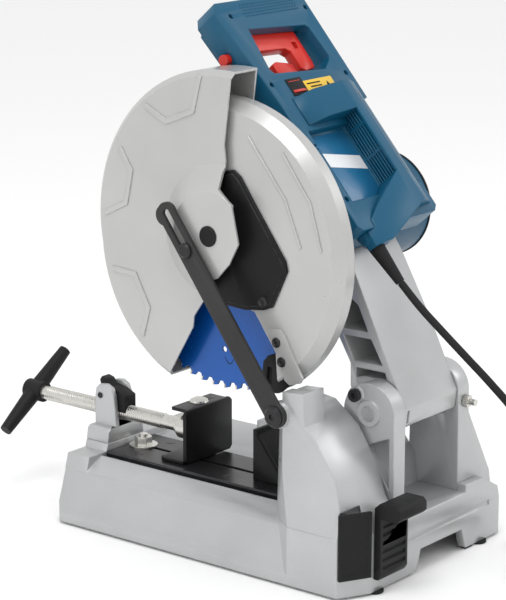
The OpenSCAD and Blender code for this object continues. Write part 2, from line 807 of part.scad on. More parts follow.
module rotor() {
    color([0.55, 0.4, 0.25]) {
        bar_x(-117, 78, motor_c, motor_shaft_r);
        bar_x(-80, -20, motor_c, 36);
    }
}

module stator() {
    color([0.35, 0.3, 0.28]) difference() {
        bar_x(-85, -15, motor_c, 53);
        bar_x(-86, -14, motor_c, 38);
    }
}

module trigger() {
    color([0.8, 0.12, 0.08]) difference() {
        slab(331, 343, [[34, -434], [38, -426], [37, -414], [26, -407], [-22, -405], [-28, -400],
                        [-28, -378], [-34, -374], [-50, -376], [-52, -384], [-52, -434]]);
        slab(325, 350, [[-37, -411], [-45, -411], [-45, -403], [-37, -403]]);
    }
}

module lock_off() {
    color([0.8, 0.12, 0.08])
        slab(333, 343, [[13, -389], [6, -391], [-12, -387], [-18, -384], [-18, -361], [13, -361]]);
}

module rocker() {
    color([0.85, 0.1, 0.08])
        sloped() plate_x(6, 26, [[-358.5, 345], [-358.5, 357], [-351, 354.5], [-343.5, 359],
                                 [-343.5, 345]]);
}

module vent_grille() {
    color([0.03, 0.05, 0.07]) sloped() box([-38, -321, 349.5], [-35, -220, 372.5]);
}

module lock_button() {
    color([0.8, 0.12, 0.08]) sloped() translate([61, -408, 334]) rotate([0, 90, 0])
        cylinder(h = 11, r = 6);
}

module relief_cone() {
    translate(gland) rotate([gland_turn, 0, 0]) cylinder(h = 50, r1 = 9, r2 = 5);
}

module strain_relief() {
    color([0.12, 0.12, 0.12]) relief_cone();
}

module cord() {
    color([0.1, 0.1, 0.1]) tube(cord_pts, cord_d / 2);
    color([0.1, 0.1, 0.1]) tube(tail_pts, cord_d / 2);
}

module cord_coil() {
    color([0.1, 0.1, 0.1]) difference() {
        turned_z(coil_c, [[32, 2], [34, 0], [54, 0], [56, 2], [56, 22], [54, 24], [34, 24], [32, 22]]);
        box([coil_c[0], coil_c[1] + 46, -1], [coil_c[0] + 40, coil_c[1] + 60, 9]);
        box([tail_x - 6, coil_c[1] - 36, 14], [tail_x + 6, coil_c[1], 25]);
    }
}

module plug() {
    color([0.08, 0.08, 0.08]) {
        bar_y(284, 300, [tail_x, 12], 6);
        difference() {
            bar_y(256, 284, [tail_x, 12], 12);
            for (x = [-13, 9])
                box([tail_x + x, 254, 0], [tail_x + x + 4, 286, 24]);
        }
    }
    color([0.75, 0.72, 0.6])
        for (x = [-6, 6])
            bar_y(238, 257, [tail_x + x, 12], 2);
}

base_casting();
spark_tower();
near_bracket();
far_bracket();
rail_near();
rail_far();
rail_rivets();
feet();
fence();
fence_block();
fence_bolts();
nut_bracket();
bracket_bolt();
half_nut();
half_nut_pin();
spindle();
t_handle();
jaw();
jaw_collar();
jaw_bolt();
chip_tray();
tray_latch();
link_bar();
link_screw();
pivot_shaft();
stop_bolt();
depth_screw();
return_spring();
arm();
gear_case();
pinion();
bull_gear();
arbor_shaft();
arbor_flanges();
arbor_bolt();
blade();
fixed_guard();
arbor_cover();
cover_screw();
guard_bracket();
bracket_screws();
laser_unit();
moving_guard();
hub_cap();
guard_pin();
handle_shell();
housing_duct();
motor_housing();
end_cap();
rotor();
stator();
trigger();
lock_off();
rocker();
vent_grille();
lock_button();
strain_relief();
cord();
cord_coil();
plug();
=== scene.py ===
import json
import math

import bpy
from mathutils import Matrix, Vector
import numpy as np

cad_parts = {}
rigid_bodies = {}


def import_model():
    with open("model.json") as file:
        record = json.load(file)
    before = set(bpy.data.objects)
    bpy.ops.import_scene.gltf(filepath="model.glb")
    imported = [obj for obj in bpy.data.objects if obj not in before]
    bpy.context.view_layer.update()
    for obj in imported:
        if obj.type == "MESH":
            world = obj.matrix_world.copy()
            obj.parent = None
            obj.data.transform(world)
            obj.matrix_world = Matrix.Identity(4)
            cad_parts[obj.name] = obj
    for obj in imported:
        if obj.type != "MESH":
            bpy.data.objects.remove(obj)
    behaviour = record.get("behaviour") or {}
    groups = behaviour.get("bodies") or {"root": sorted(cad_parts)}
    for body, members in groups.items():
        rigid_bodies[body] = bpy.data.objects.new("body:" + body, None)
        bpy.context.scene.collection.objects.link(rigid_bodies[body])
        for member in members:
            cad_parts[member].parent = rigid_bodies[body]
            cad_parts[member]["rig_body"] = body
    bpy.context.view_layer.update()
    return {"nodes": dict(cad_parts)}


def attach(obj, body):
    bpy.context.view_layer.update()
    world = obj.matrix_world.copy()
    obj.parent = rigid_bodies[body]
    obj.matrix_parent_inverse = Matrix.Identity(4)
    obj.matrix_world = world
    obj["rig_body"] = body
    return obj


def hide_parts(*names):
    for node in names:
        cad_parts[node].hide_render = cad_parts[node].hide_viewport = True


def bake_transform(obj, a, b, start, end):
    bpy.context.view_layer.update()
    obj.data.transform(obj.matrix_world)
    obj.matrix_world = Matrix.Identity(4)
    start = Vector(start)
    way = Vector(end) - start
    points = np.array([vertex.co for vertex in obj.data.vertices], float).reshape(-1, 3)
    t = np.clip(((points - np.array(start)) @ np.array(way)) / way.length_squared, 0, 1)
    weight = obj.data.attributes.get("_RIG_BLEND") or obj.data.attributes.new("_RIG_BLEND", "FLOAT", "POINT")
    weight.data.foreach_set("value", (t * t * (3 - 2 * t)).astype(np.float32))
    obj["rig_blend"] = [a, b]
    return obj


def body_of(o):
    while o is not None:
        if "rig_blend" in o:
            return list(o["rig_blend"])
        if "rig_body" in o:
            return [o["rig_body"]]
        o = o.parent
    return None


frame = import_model()
nodes = frame["nodes"]
mm = 0.001


# ---- working helpers ----

def deselectAll():
    if bpy.context.mode != "OBJECT":
        bpy.ops.object.mode_set(mode="OBJECT")
    bpy.ops.object.select_all(action="DESELECT")


def pick(piece):
    deselectAll()
    piece.select_set(True)
    bpy.context.view_layer.objects.active = piece


def editAll(piece):
    pick(piece)
    bpy.ops.object.mode_set(mode="EDIT")
    bpy.ops.mesh.select_all(action="SELECT")


def stopEdit():
    bpy.ops.object.mode_set(mode="OBJECT")


def selectFaces(piece, test):
    # picks the faces whose centre and normal pass the test
    stopEdit()
    for edge in piece.data.edges:
        edge.select = False
    for vertex in piece.data.vertices:
        vertex.select = False
    for face in piece.data.polygons:
        face.select = test(face.center, face.normal)
    bpy.ops.object.mode_set(mode="EDIT")
    bpy.ops.mesh.select_mode(type="FACE")


def cubeFrom(name, low, high):
    deselectAll()
    centre = [(a + b) / 2 for a, b in zip(low, high)]
    bpy.ops.mesh.primitive_cube_add(size=1, location=centre, scale=[b - a for a, b in zip(low, high)])
    piece = bpy.context.object
    piece.name = name
    return piece


def roundEdges(piece, width, segments=3, angle=35):
    pick(piece)
    bpy.ops.object.transform_apply(location=True, rotation=True, scale=True)
    bevel = piece.modifiers.new("roundEdges", "BEVEL")
    bevel.width = width
    bevel.segments = segments
    bevel.limit_method = "ANGLE"
    bevel.angle_limit = math.radians(angle)
    bpy.ops.object.modifier_apply(modifier=bevel.name)


def place(piece, matrix):
    # moves the mesh, and leaves the object at the origin
    pick(piece)
    bpy.ops.object.transform_apply(location=True, rotation=True, scale=True)
    piece.data.transform(matrix)


def joinPieces(name, pieces):
    deselectAll()
    for piece in pieces:
        piece.select_set(True)
    bpy.context.view_layer.objects.active = pieces[0]
    if len(pieces) > 1:
        bpy.ops.object.join()
    pieces[0].name = name
    return pieces[0]


def finishPiece(piece, body, material, smoothAngle=35):
    pick(piece)
    bpy.ops.object.transform_apply(location=True, rotation=True, scale=True)
    bpy.ops.object.shade_smooth_by_angle(angle=math.radians(smoothAngle))
    piece.data.materials.clear()
    piece.data.materials.append(material)
    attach(piece, body)
    return piece


def plate(name, outline, thickness, edge=0.0):
    # an outline in X and Y, raised along Z, with a bevelled top edge; millimetres
    deselectAll()
    bpy.ops.mesh.primitive_circle_add(vertices=len(outline), radius=1, fill_type="NGON")
    piece = bpy.context.object
    piece.name = name
    for vertex, point in zip(piece.data.vertices, outline):
        vertex.co = (point[0] * mm, point[1] * mm, 0)
    editAll(piece)
    bpy.ops.mesh.extrude_region_move(TRANSFORM_OT_translate={"value": (0, 0, thickness * mm)})
    bpy.ops.mesh.select_all(action="SELECT")
    bpy.ops.mesh.normals_make_consistent(inside=False)
    if edge > 0:
        selectFaces(piece, lambda centre, normal: normal.z > 0.9 and centre.z > thickness * mm * 0.9)
        bpy.ops.mesh.bevel(offset=edge * mm, segments=2, affect="EDGES")
    stopEdit()
    return piece


def turned(name, profile, steps=48):
    # a closed [radius, height] profile in millimetres, spun about Z by the Screw modifier
    deselectAll()
    bpy.ops.mesh.primitive_circle_add(vertices=len(profile), radius=1)
    piece = bpy.context.object
    piece.name = name
    for vertex, point in zip(piece.data.vertices, profile):
        vertex.co = (point[0] * mm, 0, point[1] * mm)
    spin = piece.modifiers.new("spin", "SCREW")
    spin.steps = steps
    spin.render_steps = steps
    spin.use_merge_vertices = True
    spin.merge_threshold = 1e-6
    bpy.ops.object.modifier_apply(modifier=spin.name)
    editAll(piece)
    bpy.ops.mesh.remove_doubles(threshold=1e-6)
    bpy.ops.mesh.normals_make_consistent(inside=False)
    stopEdit()
    return piece


def cleanCopy(node, name):
    # a merged copy of a CAD node, with its flat faces whole again
    piece = bpy.data.objects.new(name, nodes[node].data.copy())
    piece.data.transform(nodes[node].matrix_world)
    bpy.context.collection.objects.link(piece)
    editAll(piece)
    bpy.ops.mesh.remove_doubles(threshold=1e-6)
    bpy.ops.mesh.dissolve_limited(angle_limit=math.radians(0.5))
    stopEdit()
    return piece


def alongX(x, y, z):
    # a frame whose Z points along +X, X along +Y and Y along +Z
    turn = Matrix(((0, 0, 1, 0), (1, 0, 0, 0), (0, 1, 0, 0), (0, 0, 0, 1)))
    return Matrix.Translation((x * mm, y * mm, z * mm)) @ turn


slope = math.radians(49)
slopeFrame = Matrix.Rotation(-slope, 4, "X")


def slopedAt(x, s, n):
    return slopeFrame @ Matrix.Translation((x * mm, s * mm, n * mm))


# ---- shading ----

class Wire:
    # a node tree with one of its sockets, which can be added, multiplied and so on
    def __init__(self, tree, socket=None):
        self.tree = tree
        self.socket = socket

    def node(self, kind, settings=None, values=None, output=0):
        made = self.tree.nodes.new(kind)
        for key, value in (settings or {}).items():
            if key == "stops":
                ramp = made.color_ramp
                for place_, colour in value[2:]:
                    ramp.elements.new(place_).color = colour
                for element, (place_, colour) in zip((ramp.elements[0], ramp.elements[-1]), value[:2]):
                    element.position = place_
                    element.color = colour
            else:
                setattr(made, key, value)
        for key, value in (values or {}).items():
            if isinstance(value, Wire):
                self.tree.links.new(value.socket, made.inputs[key])
            else:
                made.inputs[key].default_value = value
        return Wire(self.tree, made.outputs[output])

    def maths(self, operation, a, b=0.0, clamp=False):
        return self.node("ShaderNodeMath", {"operation": operation, "use_clamp": clamp}, {0: a, 1: b})

    def __add__(self, other):
        return self.maths("ADD", self, other)

    __radd__ = __add__

    def __sub__(self, other):
        return self.maths("SUBTRACT", self, other)

    def __rsub__(self, other):
        return self.maths("SUBTRACT", other, self)

    def __mul__(self, other):
        return self.maths("MULTIPLY", self, other)

    __rmul__ = __mul__

    def __gt__(self, other):
        return self.maths("GREATER_THAN", self, other)

    def clamped(self):
        return self.maths("ADD", self, 0.0, clamp=True)

    def between(self, low, high, outLow=0.0, outHigh=1.0):
        return self.node("ShaderNodeMapRange", {"clamp": True},
                         {"Value": self, "From Min": low, "From Max": high,
                          "To Min": outLow, "To Max": outHigh})

    def blend(self, factor, a, b):
        return self.node("ShaderNodeMix", {"data_type": "RGBA"}, {0: factor, 6: a, 7: b}, output=2)

    def noise(self, where, scale, detail=4.0, roughness=0.55):
        return self.node("ShaderNodeTexNoise", None,
                         {"Vector": where, "Scale": scale, "Detail": detail, "Roughness": roughness})


def colour4(colour):
    return (colour[0], colour[1], colour[2], 1.0)


def surface(name, look):
    # one finish: tone drift, grain, rubbed edges and fine bumps
    material = bpy.data.materials.new(name)
    material.use_nodes = True
    tree = material.node_tree
    shader = tree.nodes["Principled BSDF"]
    root = Wire(tree)
    where = root.node("ShaderNodeTexCoord", None, None, output=3)
    stretched = root.node("ShaderNodeMapping", None,
                          {"Vector": where, "Scale": look.get("stretch", (1, 1, 1))})
    rounded = root.node("ShaderNodeBevel", {"samples": 4}, {"Radius": look.get("edge", 1.2) * mm})
    flat = root.node("ShaderNodeNewGeometry", None, None, output=1)
    along = root.node("ShaderNodeVectorMath", {"operation": "DOT_PRODUCT"}, {0: rounded, 1: flat}, output=1)
    edges = (1.0 - along).between(0.01, 0.2)

    drift = root.noise(where, look.get("driftScale", 9.0), 3.0)
    grain = root.noise(stretched, look.get("grainScale", 900.0), 3.0, 0.6)
    scuffs = root.noise(stretched, look.get("scuffScale", 60.0), 8.0, 0.7)
    base = colour4(look["colour"])
    dark = colour4([c * look.get("dark", 0.9) for c in look["colour"]])
    tone = root.blend(drift.between(0.35, 0.65), dark, base)
    speck = grain.between(0.3, 0.7, 1.0 - look.get("speck", 0.04), 1.0 + look.get("speck", 0.04))
    tone = root.node("ShaderNodeMix", {"data_type": "RGBA", "blend_type": "MULTIPLY"},
                     {0: 1.0, 6: tone, 7: root.node("ShaderNodeCombineColor", None,
                                                    {0: speck, 1: speck, 2: speck})}, output=2)
    wear = (edges * scuffs.between(0.42, 0.62)) * look.get("wear", 0.5)
    if "floor" in look:
        wear = wear + (scuffs > look["floor"]) * 0.35
    wear = wear.clamped()
    tone = root.blend(wear, tone, colour4(look.get("worn", look["colour"])))
    tree.links.new(tone.socket, shader.inputs["Base Color"])

    rough = drift.between(0.3, 0.7, look["rough"] - 0.05, look["rough"] + 0.05)
    rough = rough + (scuffs - 0.5) * look.get("roughSpread", 0.12) + wear * look.get("wornRough", 0.0)
    tree.links.new(rough.clamped().socket, shader.inputs["Roughness"])
    metal = look.get("metal", 0.0)
    if look.get("wornMetal", 0.0) > metal:
        metal = metal + wear * (look["wornMetal"] - metal)
        tree.links.new(metal.socket, shader.inputs["Metallic"])
    else:
        shader.inputs["Metallic"].default_value = metal
    shader.inputs["Specular IOR Level"].default_value = look.get("gloss", 0.5)
    if "coat" in look:
        shader.inputs["Coat Weight"].default_value = look["coat"]
        shader.inputs["Coat Roughness"].default_value = 0.12
    height = grain * look.get("grainHeight", 0.05) + drift * 0.3 + scuffs * look.get("scuffHeight", 0.05)
    if "rings" in look:
        # turned or ground marks round an axis along X
        arm = root.node("ShaderNodeVectorMath", {"operation": "SUBTRACT"}, {0: where, 1: look["rings"]})
        flatArm = root.node("ShaderNodeVectorMath", {"operation": "MULTIPLY"}, {0: arm, 1: (0, 1, 1)})
        radius = root.node("ShaderNodeVectorMath", {"operation": "LENGTH"}, {0: flatArm}, output=1)
        marks = root.node("ShaderNodeTexNoise", {"noise_dimensions": "1D"},
                          {"W": radius, "Scale": 2600.0, "Detail": 3.0})
        height = height + marks * 0.25
        band = (radius * 180.0).maths("FRACT", radius * 180.0)
        height = height + band.between(0.0, 0.08) * 0.02
    bump = root.node("ShaderNodeBump", None, {"Strength": look.get("bump", 0.25), "Distance": 0.4 * mm,
                                              "Height": height, "Normal": rounded})
    tree.links.new(bump.socket, shader.inputs["Normal"])
    return material


looks = {
    "castGrey": dict(colour=(0.50, 0.505, 0.51), dark=0.88, rough=0.32, grainScale=1100, grainHeight=0.12,
                     speck=0.05, edge=1.8, worn=(0.8, 0.81, 0.82), wear=0.6, bump=0.35, metal=0.5,
                     driftScale=7),
    "guardGrey": dict(colour=(0.50, 0.50, 0.495), dark=0.93, rough=0.32, grainScale=1500,
                      grainHeight=0.05,
                      speck=0.025, edge=1.0, worn=(0.93, 0.93, 0.93), wear=0.85, bump=0.16, metal=0.4,
                      coat=0.15),
    "satinBlack": dict(gloss=0.18, colour=(0.012, 0.012, 0.013), dark=0.75, rough=0.36,
                       grainScale=1300, speck=0.2,
                       grainHeight=0.12, edge=1.0, worn=(0.2, 0.2, 0.2), wear=0.55, bump=0.3),
    "coverBlack": dict(gloss=0.18, colour=(0.010, 0.010, 0.011), dark=0.8, rough=0.42,
                       grainScale=900, speck=0.25,
                       grainHeight=0.15, edge=1.6, worn=(0.16, 0.16, 0.16), wear=0.5, bump=0.3),
    "darkRail": dict(colour=(0.035, 0.035, 0.038), dark=0.7, rough=0.3, metal=0.55, grainScale=500,
                     stretch=(1.0, 0.15, 1.0), speck=0.25, edge=1.2, worn=(0.3, 0.3, 0.31), wear=0.8,
                     bump=0.25, floor=0.66),
    "linkGrey": dict(gloss=0.18, colour=(0.045, 0.044, 0.044), dark=0.85, rough=0.42, metal=0.25,
                     grainScale=1100,
                     speck=0.15, edge=1.0, worn=(0.22, 0.22, 0.22), wear=0.7, bump=0.25),
    "zinc": dict(colour=(0.68, 0.67, 0.63), dark=0.85, rough=0.26, metal=1.0, grainScale=700, speck=0.1,
                 edge=0.7, worn=(0.9, 0.9, 0.88), wear=0.6, bump=0.25),
    "darkBolt": dict(colour=(0.03, 0.03, 0.032), dark=0.8, rough=0.35, metal=0.6, grainScale=900,
                     edge=0.5,
                     worn=(0.3, 0.3, 0.3), wear=0.6, bump=0.2),
    "turnedSteel": dict(colour=(0.5, 0.5, 0.5), dark=0.9, rough=0.25, metal=1.0, edge=0.6,
                        worn=(0.8, 0.8, 0.8), wear=0.5, bump=0.15, rings=(0.0, 0.165, 0.1747)),
    "gearSteel": dict(colour=(0.3, 0.29, 0.28), dark=0.75, rough=0.35, metal=1.0, edge=0.4,
                      worn=(0.6, 0.6, 0.6), wear=0.7, bump=0.2),
    "bladeBlue": dict(gloss=0.35, colour=(0.001, 0.085, 0.38), dark=0.9, rough=0.3, metal=0.35,
                      grainScale=1800,
                      speck=0.06, edge=0.6, worn=(0.35, 0.42, 0.5), wear=0.35, bump=0.12,
                      rings=(0.095, 0.005, 0.335), coat=0.4, driftScale=14),
    "carbide": dict(colour=(0.62, 0.58, 0.5), dark=0.85, rough=0.2, metal=1.0, edge=0.3, wear=0.4,
                    worn=(0.9, 0.88, 0.84), bump=0.1),
    "petrolBlue": dict(gloss=0.35, colour=(0.003, 0.085, 0.165), dark=0.9, rough=0.36, grainScale=1900,
                       grainHeight=0.16, speck=0.05, edge=2.2, worn=(0.02, 0.16, 0.28), wear=0.4, bump=0.3),
    "drumBlue": dict(gloss=0.35, colour=(0.003, 0.072, 0.14), dark=0.88, rough=0.38,
                     grainScale=1700, grainHeight=0.16,
                     speck=0.06, edge=1.8, worn=(0.02, 0.13, 0.23), wear=0.4, bump=0.3),
    "grainedBlack": dict(gloss=0.18, colour=(0.013, 0.013, 0.014), dark=0.8, rough=0.5,
                         grainScale=1200, speck=0.25,
                         grainHeight=0.3, edge=1.0, worn=(0.1, 0.1, 0.1), wear=0.6, bump=0.45),
    "ventBlack": dict(gloss=0.18, colour=(0.004, 0.006, 0.008), rough=0.7, grainScale=800,
                      speck=0.3, bump=0.3),
    "switchRed": dict(gloss=0.35, colour=(0.62, 0.022, 0.012), dark=0.86, rough=0.3,
                      grainScale=1400, speck=0.05,
                      edge=1.6, worn=(0.85, 0.12, 0.08), wear=0.5, bump=0.15, coat=0.2),
    "rubberBlack": dict(gloss=0.18, colour=(0.016, 0.016, 0.017), dark=0.75, rough=0.62,
                        grainScale=1500, speck=0.3,
                        grainHeight=0.2, edge=0.8, worn=(0.06, 0.06, 0.06), wear=0.6, bump=0.4),
    "copperCore": dict(colour=(0.35, 0.16, 0.06), dark=0.6, rough=0.4, metal=0.8, grainScale=300,
                       stretch=(6, 1, 1), speck=0.3, edge=0.6, worn=(0.6, 0.4, 0.2), wear=0.4, bump=0.5),
    "labelYellow": dict(colour=(0.8, 0.5, 0.01), dark=0.95, rough=0.35, edge=0.2, wear=0.1, bump=0.05,
                        coat=0.3),
    # black for the printed ink on the labels, and as painted shade filling the blade slots
    "inkAndSlotShadeBlack": dict(gloss=0.18, colour=(0.01, 0.01, 0.01), rough=0.4, edge=0.2, wear=0.0, bump=0.05),
    "labelWhite": dict(colour=(0.78, 0.8, 0.82), dark=0.94, rough=0.4, edge=0.2, wear=0.1, bump=0.05),
    "labelBlue": dict(colour=(0.012, 0.13, 0.27), dark=0.94, rough=0.3, edge=0.2, wear=0.1, bump=0.05,
                      coat=0.3),
}
finishes = {name: surface(name, look) for name, look in looks.items()}
print("finishes made:", len(finishes))

# which finish each carried-over CAD node takes
nodeLooks = {
    "castGrey": ["base_casting", "spark_tower", "near_bracket", "far_bracket", "nut_bracket", "fence_block",
                 "arm", "gear_case"],
    "guardGrey": ["fixed_guard", "moving_guard", "guard_bracket"],
    "satinBlack": ["fence", "jaw"],
    "coverBlack": ["arbor_cover", "hub_cap"],
    "darkRail": ["rail_near", "rail_far", "rail_rivets"],
    "linkGrey": ["link_bar"],
    "zinc": ["spindle", "jaw_bolt", "bracket_bolt", "fence_bolts", "depth_screw", "jaw_collar"],
    "darkBolt": ["link_screw", "guard_pin", "stop_bolt", "cover_screw", "bracket_screws", "return_spring",
                 "half_nut_pin"],
    "turnedSteel": ["pivot_shaft", "arbor_shaft", "arbor_flanges", "arbor_bolt"],
    "gearSteel": ["pinion", "bull_gear"],
    "bladeBlue": ["blade"],
    "petrolBlue": ["handle_shell", "housing_duct"],
    "drumBlue": ["motor_housing"],
    "grainedBlack": ["chip_tray", "tray_latch", "t_handle", "half_nut", "laser_unit", "end_cap"],
    "ventBlack": ["vent_grille"],
    "switchRed": ["trigger", "lock_off", "rocker", "lock_button"],
    "rubberBlack": ["feet", "strain_relief", "cord", "cord_coil", "plug"],
    "copperCore": ["rotor", "stator"],
}
for finish, names in nodeLooks.items():
    for node in names:
        data = nodes[node].data
        data.materials.clear()
        data.materials.append(finishes[finish])
print("CAD nodes finished:", sum(len(names) for names in nodeLooks.values()))


def finished(piece, node, finish, smoothAngle=35):
    return finishPiece(piece, body_of(nodes[node])[0], finishes[finish], smoothAngle)


def copies(piece, spots):
    # more of a finished shape, one at each matrix, joined into one piece
    made = []
    for spot in spots:
        other = bpy.data.objects.new(piece.name, piece.data.copy())
        other.data.transform(spot)
        bpy.context.collection.objects.link(other)
        made.append(other)
    name = piece.name
    bpy.data.objects.remove(piece)
    return joinPieces(name, made)


# ---- rounded edges on the cast, moulded and bent parts ----

softened = {"handle_shell": (1.6, "petrolBlue"), "housing_duct": (1.2, "petrolBlue"),
            "trigger": (0.9, "switchRed"), "lock_off": (0.8, "switchRed"), "rocker": (0.7, "switchRed"),
            "jaw": (0.6, "satinBlack"), "fence": (0.6, "satinBlack"), "fence_block": (1.2, "castGrey"),
            "chip_tray": (0.8, "grainedBlack"), "tray_latch": (0.9, "grainedBlack"),
            "link_bar": (0.6, "linkGrey"), "nut_bracket": (0.8, "castGrey"),
            "half_nut": (0.8, "grainedBlack"),
            "far_bracket": (1.6, "castGrey"), "spark_tower": (1.2, "castGrey"), "arm": (1.6, "castGrey"),
            "base_casting": (1.4, "castGrey"), "arbor_cover": (0.5, "coverBlack"),
            "laser_unit": (0.7, "grainedBlack"), "gear_case": (1.0, "castGrey")}
for node, (width, finish) in softened.items():
    piece = cleanCopy(node, node + "Rounded")
    roundEdges(piece, width * mm, 2)
    finished(piece, node, finish)
    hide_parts(node)
print("rounded parts:", len(softened))

# ---- blade tips and slots ----

bladeCentre = dict(x=95, y=5, z=335)
tips = dict(count=60, radius=150.6, low=(-1.3, -1.0, -2.8), high=(1.3, 1.0, 1.9), edge=0.25)
tip = cubeFrom("bladeTips", [v * mm for v in tips["low"]], [v * mm for v in tips["high"]])
roundEdges(tip, tips["edge"] * mm, 2)
outward = Matrix.Translation((tips["radius"] * mm, 0, 0)) @ Matrix.Rotation(math.radians(90), 4, "Y")
around = [alongX(**bladeCentre) @ Matrix.Rotation(math.tau * i / tips["count"], 4, "Z") @ outward
          for i in range(tips["count"])]
finished(copies(tip, around), "blade", "carbide")

# wavy slots, shown as thin dark bands on both faces of the blade: black bands painted in as the shade inside
# the slot gaps
slits = dict(count=8, radius=118, rise=7, phase=9.4, sweep=0.34, halfWidth=0.55, points=25,
             thickness=2.5, edge=0.06, start=93.75)
wave = []
for i in range(slits["points"]):
    t = i / (slits["points"] - 1)
    wave.append((slits["radius"] + slits["rise"] * math.sin(t * slits["phase"]), t * slits["sweep"]))
outline = [((r + slits["halfWidth"]) * math.cos(a), (r + slits["halfWidth"]) * math.sin(a))
           for r, a in wave]
outline += [((r - slits["halfWidth"]) * math.cos(a), (r - slits["halfWidth"]) * math.sin(a))
            for r, a in reversed(wave)]
slit = plate("bladeSlotShade", outline, slits["thickness"], slits["edge"])
finished(copies(slit, [alongX(slits["start"], bladeCentre["y"], bladeCentre["z"])
                       @ Matrix.Rotation(math.tau * i / slits["count"], 4, "Z")
                       for i in range(slits["count"])]), "blade", "inkAndSlotShadeBlack")
print("blade tips:", tips["count"])

# ---- labels, screws, grip dots and switch frame on the housing ----

def onHousing(name, outline, n, thickness, finish, edge=0.15):
    piece = plate(name, outline, thickness, edge)
    place(piece, slopedAt(0, 0, n))
    return finished(piece, "handle_shell", finish)


housing = dict(top=356, floor=346,
               screws=[(48.6, -446), (-77, -443), (-74.7, -356), (52, -358.6),
                       (45, -279), (17, -278.6), (48, -214), (20, -213.4)])
label = dict(thickness=0.35, ink=0.3, lines=4, pitch=4.2, lineHeight=1.6, left=-24, right=-1, step=4,
             first=-352.5)
onHousing("warningLabel", [(-45, -356), (2, -356), (3, -355), (3, -337), (2, -336), (-45, -336),
                           (-46, -337), (-46, -355)], housing["top"], label["thickness"], "labelYellow")
onHousing("warningTriangle", [(-41, -339), (-29, -339), (-35, -351)], housing["top"] + label["ink"], 0.25,
          "inkAndSlotShadeBlack", 0.05)
for i in range(label["lines"]):
    low = label["first"] + label["pitch"] * i
    high = low + label["lineHeight"]
    right = label["right"] - label["step"] * (i % 2)
    onHousing("warningLine" + str(i), [(label["left"], low), (right, low), (right, high),
                                       (label["left"], high)],
              housing["top"] + label["ink"], 0.22, "inkAndSlotShadeBlack", 0.04)
onHousing("platePanel", [(-25, -295), (39, -295), (40, -294), (40, -214), (39, -213), (-25, -213),
                         (-26, -214), (-26, -294)], housing["floor"], 0.6, "labelBlue")
onHousing("plateStripe", [(-26, -262), (40, -276), (40, -259), (-26, -245)], housing["floor"] + 0.5, 0.3,
          "labelWhite", 0.05)
screwHead = 342
screw = turned("housingScrews", [(0.01, -2), (3.0, -2), (3.0, 0.6), (2.7, 1.1), (1.7, 1.1), (1.4, 0.2),
                                 (0.01, 0.2)], 24)
finished(copies(screw, [slopedAt(x, s, screwHead) for x, s in housing["screws"]]), "handle_shell", "darkBolt")
grip = dict(rows=5, columns=22, left=-64, end=-458, across=4.2, along=3.6)
dot = turned("gripDots", [(0.01, -0.4), (1.1, -0.4), (1.1, 0.15), (0.7, 0.55), (0.01, 0.6)], 8)
dotSpots = [slopedAt(grip["left"] + (column + (row % 2) / 2) * grip["across"],
                     grip["end"] + row * grip["along"], housing["top"])
            for row in range(grip["rows"]) for column in range(grip["columns"])]
finished(copies(dot, dotSpots), "handle_shell", "petrolBlue")
onHousing("switchFrame", [(3, -361.5), (29, -361.5), (29, -340.5), (3, -340.5)], housing["top"] - 0.2, 0.9,
          "grainedBlack", 0.3)
print("housing trim done")

# ---- spindle thread ----

thread = dict(axis=(56, 113.5), start=-290, turns=59, pitch=3.0, steps=24,
              profile=[(7.7, -1.2), (8.65, 0), (7.7, 1.2)])
deselectAll()
bpy.ops.mesh.primitive_circle_add(vertices=len(thread["profile"]), radius=1)
helix = bpy.context.object
helix.name = "spindleThread"
for vertex, point in zip(helix.data.vertices, thread["profile"]):
    vertex.co = (point[0] * mm, 0, point[1] * mm)
spin = helix.modifiers.new("spin", "SCREW")
spin.steps = thread["steps"]
spin.render_steps = thread["steps"]
spin.screw_offset = thread["pitch"] * mm
spin.iterations = thread["turns"]
pick(helix)
bpy.ops.object.modifier_apply(modifier=spin.name)
editAll(helix)
bpy.ops.mesh.select_mode(type="EDGE")
bpy.ops.mesh.select_all(action="DESELECT")
bpy.ops.mesh.select_non_manifold()
bpy.ops.mesh.edge_face_add()
bpy.ops.mesh.select_all(action="SELECT")
bpy.ops.mesh.normals_make_consistent(inside=False)
place(helix, Matrix.Translation((thread["axis"][0] * mm, thread["start"] * mm, thread["axis"][1] * mm))
      @ Matrix.Rotation(math.radians(-90), 4, "X"))
finished(helix, "spindle", "zinc", 25)
print("thread turns:", thread["turns"])

# ---- pressed ribs on the two guards ----

ribs = dict(rise=1.8, edge=1.2, swing=dict(face=117.0, width=6.0), fixed=dict(face=109.4, width=3.0))
chevrons = [[(-84.7, 479.3), (-55.5, 465.3), (-19.7, 479.5), (-9.4, 518.2)],
            [(-120.6, 430.0), (-105.1, 407.6), (-112.8, 371.5), (-143.5, 356.5)],
            [(-133.9, 297.1), (-101.6, 295.0), (-82.6, 260.8), (-91.9, 228.8)]]
fixedRibs = [[(48, 460), (96, 400), (116, 352)], [(92, 448), (128, 400), (142, 352)]]


def ribOutline(line, width):
    # a band along a broken line, with mitred corners
    left = []
    right = []
    for i, point in enumerate(line):
        here = Vector(point)
        ways = [(Vector(line[j + 1]) - Vector(line[j])).normalized() for j in (i - 1, i)
                if 0 <= j < len(line) - 1]
        way = sum(ways, Vector((0, 0))).normalized()
        side = Vector((-way.y, way.x)) * (width / 2 / max(way.dot(ways[0]), 0.4))
        left.append(tuple(here + side))
        right.append(tuple(here - side))
    return left + right[::-1]


def ribPieces(name, lines, node, face, width):
    made = []
    for line in lines:
        piece = plate(name, ribOutline(line, width), ribs["rise"], ribs["edge"])
        place(piece, alongX(face, 0, 0))
        made.append(piece)
    return finished(joinPieces(name, made), node, "guardGrey")


ribPieces("swingRibs", chevrons, "moving_guard", **ribs["swing"])
ribPieces("fixedRibs", fixedRibs, "fixed_guard", **ribs["fixed"])
print("guard ribs:", len(chevrons) + len(fixedRibs))

